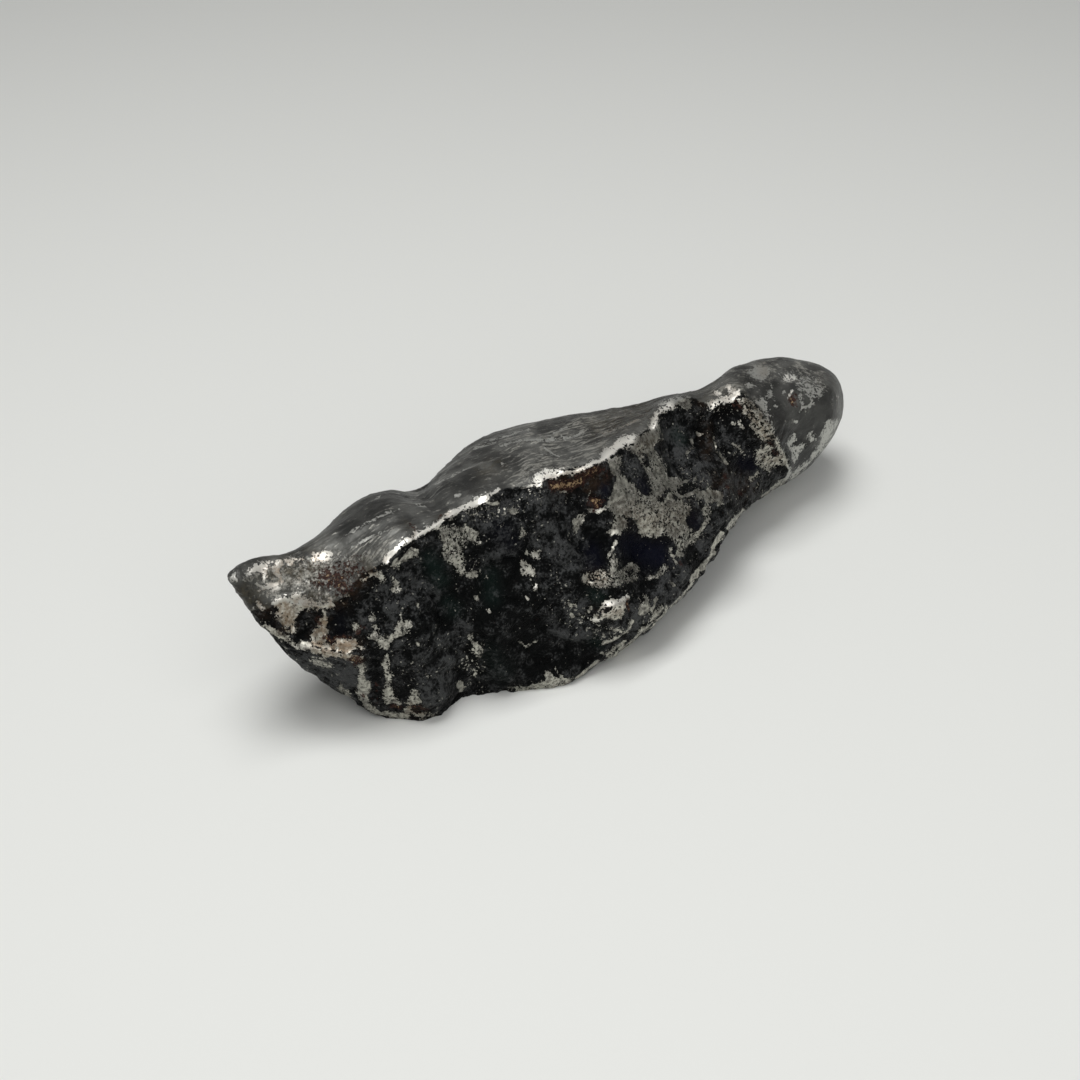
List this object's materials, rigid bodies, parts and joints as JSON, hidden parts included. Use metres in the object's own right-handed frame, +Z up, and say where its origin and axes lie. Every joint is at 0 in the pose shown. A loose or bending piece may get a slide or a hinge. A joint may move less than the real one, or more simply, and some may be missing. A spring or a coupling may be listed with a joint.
{
  "type": "iron meteorite",
  "caption": "Long, irregular iron meteorite with a pointed beak, a worn crest, thumbprint hollows, a round head and a flat spot to rest on.",
  "frame": {"origin": "under the middle of the stone's box, on the plane of its flat spot", "axes": "+X from the pointed beak to the round head, along the longest extent; -Y the front with the crest and the hollows; +Z up"},
  "size_m": [0.0768, 0.024, 0.0205],
  "materials": {
    "crust": "dark oxide crust, satin, worn to bare nickel-iron on the crest and the ridges"
  },
  "bodies": {
    "root": {"meteorite": "crust"}
  },
  "joints": []
}
